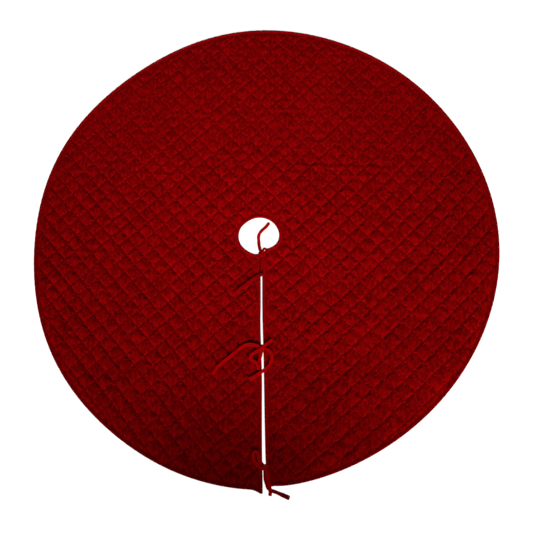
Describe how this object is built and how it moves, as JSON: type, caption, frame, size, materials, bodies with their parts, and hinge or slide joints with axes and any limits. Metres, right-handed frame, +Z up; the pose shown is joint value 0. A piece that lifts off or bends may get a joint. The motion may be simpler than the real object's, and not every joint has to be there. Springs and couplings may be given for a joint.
{
  "type": "tree skirt",
  "caption": "Round quilted velvet tree skirt with a centre hole, a slit to the rim closed by knotted ties, and a fold across the middle.",
  "frame": {"origin": "on the floor at the centre of the trunk hole", "axes": "+Z up out of the velvet face, the slit runs from the hole to the rim along -Y, +X to the right seen from above with the slit towards the viewer"},
  "size_m": [1.22, 1.2491, 0.0143],
  "materials": {
    "velvet_face": "quilted deep red velvet, soft sheen",
    "velvet_binding": "folded bias tape of the same velvet",
    "tie_tape": "folded and topstitched velvet tape",
    "batting": "white polyester wadding",
    "backing": "plain woven cotton, matt",
    "thread": "red sewing thread"
  },
  "bodies": {
    "front_half": {"front_binding_topstitch": "thread", "front_falling_quilting_thread": "thread", "front_left_backing": "backing", "front_left_batting": "batting", "front_left_face": "velvet_face", "front_left_hole_binding": "velvet_binding", "front_left_rim_binding": "velvet_binding", "front_right_backing": "backing", "front_right_batting": "batting", "front_right_face": "velvet_face", "front_right_hole_binding": "velvet_binding", "front_right_rim_binding": "velvet_binding", "front_rising_quilting_thread": "thread", "slit_binding_left": "velvet_binding", "slit_binding_right": "velvet_binding", "hole_knot": "tie_tape", "hole_turn_knot": "tie_tape", "middle_knot": "tie_tape", "bottom_knot": "tie_tape", "tie_bar_tacks": "thread", "middle_tie_left_loop": "tie_tape", "middle_tie_short_tail": "tie_tape", "bottom_tie_loop": "tie_tape", "hole_tie_down_loop": "tie_tape", "hole_tie_eyelet": "tie_tape", "hole_tie_left_end": "tie_tape", "hole_tie_right_end": "tie_tape", "middle_tie_left_end": "tie_tape", "middle_tie_right_end": "tie_tape", "bottom_tie_left_end": "tie_tape", "bottom_tie_right_end": "tie_tape"},
    "back_half": {"back_backing": "backing", "back_batting": "batting", "back_binding_topstitch": "thread", "back_face": "velvet_face", "back_falling_quilting_thread": "thread", "back_hole_binding": "velvet_binding", "back_rim_binding": "velvet_binding", "back_rising_quilting_thread": "thread"},
    "hole_upper_tail": {"hole_tie_upper_tail": "tie_tape"},
    "hole_side_tail": {"hole_tie_side_tail": "tie_tape"},
    "middle_long_tail": {"middle_tie_long_tail": "tie_tape"},
    "middle_round_tail": {"middle_tie_round_tail": "tie_tape", "middle_tie_stub_loop": "tie_tape"},
    "bottom_tails": {"bottom_tie_long_tail": "tie_tape", "bottom_tie_short_tail": "tie_tape"}
  },
  "joints": [
    {"name": "half_fold", "type": "hinge", "parent": "front_half", "child": "back_half", "pos_m": [0, 0, 0.0095], "axis": [1, 0, 0], "range_deg": [0, 174]},
    {"name": "hole_upper_tail_swing", "type": "hinge", "parent": "front_half", "child": "hole_upper_tail", "pos_m": [0.008, -0.053, 0.0095], "axis": [0, 0, 1], "range_deg": [-2, 38]},
    {"name": "hole_side_tail_swing", "type": "hinge", "parent": "front_half", "child": "hole_side_tail", "pos_m": [0.0062, -0.107, 0.0095], "axis": [0, 0, 1], "range_deg": [-30, 30]},
    {"name": "middle_long_tail_swing", "type": "hinge", "parent": "front_half", "child": "middle_long_tail", "pos_m": [0.008, -0.289, 0.0095], "axis": [0, 0, 1], "range_deg": [-30, 25]},
    {"name": "middle_round_tail_swing", "type": "hinge", "parent": "front_half", "child": "middle_round_tail", "pos_m": [0.008, -0.289, 0.0095], "axis": [0, 0, 1], "range_deg": [-3, 35]},
    {"name": "bottom_tails_swing", "type": "hinge", "parent": "front_half", "child": "bottom_tails", "pos_m": [0.008, -0.566, 0.0095], "axis": [0, 0, 1], "range_deg": [-8, 8]}
  ]
}
